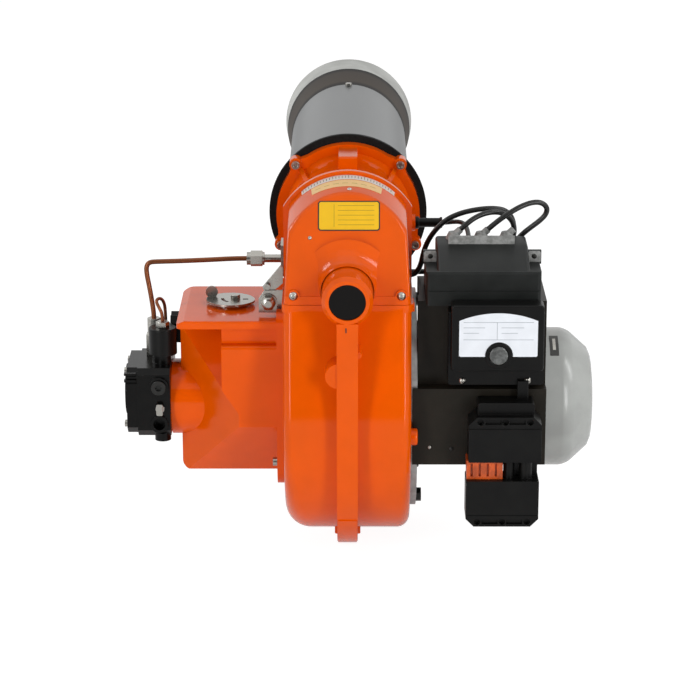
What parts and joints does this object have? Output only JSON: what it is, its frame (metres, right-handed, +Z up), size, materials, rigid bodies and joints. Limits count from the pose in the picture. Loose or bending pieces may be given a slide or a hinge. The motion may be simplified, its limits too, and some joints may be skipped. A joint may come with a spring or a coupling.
{
  "type": "waste oil burner",
  "caption": "Pressure-jet oil burner: orange scroll housing with vaulted cover, long blast tube with flared head, side motor, air box with damper, oil pump, controls and leads.",
  "frame": {"origin": "on the blast tube's axis at the gasket's face that meets the boiler", "axes": "+Y along the tube into the boiler, +X to the right of a person who stands in front of the burner, +Z up"},
  "size_m": [0.4777, 0.829, 0.3905],
  "materials": {
    "orange_paint": "satin",
    "cast_aluminium": "satin",
    "motor_paint": "satin",
    "cowl_paint": "satin",
    "black_casting": "satin",
    "black_sheet": "satin",
    "black_plastic": "matte",
    "grey_plastic": "matte",
    "orange_plastic": "gloss",
    "clear_plastic": "gloss",
    "dark_glass": "gloss",
    "gasket": "matte",
    "tube_steel": "satin",
    "scaled_steel": "matte",
    "zinc": "satin",
    "black_steel": "satin",
    "shaft_steel": "satin",
    "copper": "satin",
    "brass": "satin",
    "ceramic": "gloss",
    "winding": "satin",
    "lead_rubber": "satin"
  },
  "bodies": {
    "burner": {"fan_housing": "orange_paint", "housing_cover": "orange_paint", "dome_screws": "zinc", "sight_glass": "dark_glass", "flange_gasket": "gasket", "flange_screws": "zinc", "blast_tube": "tube_steel", "flame_head": "scaled_steel", "head_end_ring": "scaled_steel", "head_screws": "zinc", "nozzle_line": "zinc", "nozzle_block": "brass", "oil_nozzle": "brass", "flame_disc": "scaled_steel", "electrodes": "ceramic", "photocell": "black_plastic", "motor_flange": "cast_aluminium", "motor_bolts": "black_steel", "motor_frame": "motor_paint", "stator": "winding", "motor_cowl": "cowl_paint", "air_box": "orange_paint", "cap_screws": "zinc", "inlet_ring": "zinc", "pump_body": "black_casting", "pump_cover": "black_casting", "pump_plug": "black_steel", "solenoid_stem": "zinc", "solenoid_coil": "black_plastic", "valve_connector": "black_plastic", "pump_fittings": "zinc", "copper_pipe": "copper", "bypass_pipe": "copper", "pipe_nut": "zinc", "pipe_nipple": "zinc", "nozzle_side_plate": "zinc", "hinge_bracket": "zinc", "hinge_bolt": "zinc", "control_bracket": "black_sheet", "control_base": "black_plastic", "control_box": "black_plastic", "ignition_transformer": "black_plastic", "transformer_bushes": "grey_plastic", "socket_connector": "black_plastic", "plug_connector": "black_plastic", "connector_insert": "orange_plastic", "ignition_lead_a": "lead_rubber", "ignition_lead_b": "lead_rubber", "ignition_lead_c": "lead_rubber", "photocell_lead": "lead_rubber"},
    "rotor": {"fan_wheel": "zinc", "motor_shaft": "shaft_steel", "coupling": "black_plastic", "cooling_fan": "black_plastic", "pump_shaft": "shaft_steel"},
    "damper": {"damper_shaft": "zinc", "damper_blade": "zinc", "damper_lever": "zinc", "damper_screw": "zinc"},
    "reset_button": {"reset_button": "clear_plastic"}
  },
  "joints": [
    {"name": "rotor_spin", "type": "hinge", "parent": "burner", "child": "rotor", "pos_m": [0, -0.215, -0.143], "axis": [1, 0, 0], "continuous": true},
    {"name": "damper_turn", "type": "hinge", "parent": "burner", "child": "damper", "pos_m": [-0.114, -0.226, -0.08], "axis": [0, 0, -1], "range_deg": [0, 85]},
    {"name": "reset_press", "type": "slide", "parent": "burner", "child": "reset_button", "axis": [0, 1, 0], "range_m": [0, 0.003], "stiffness_N_per_m": 250}
  ]
}
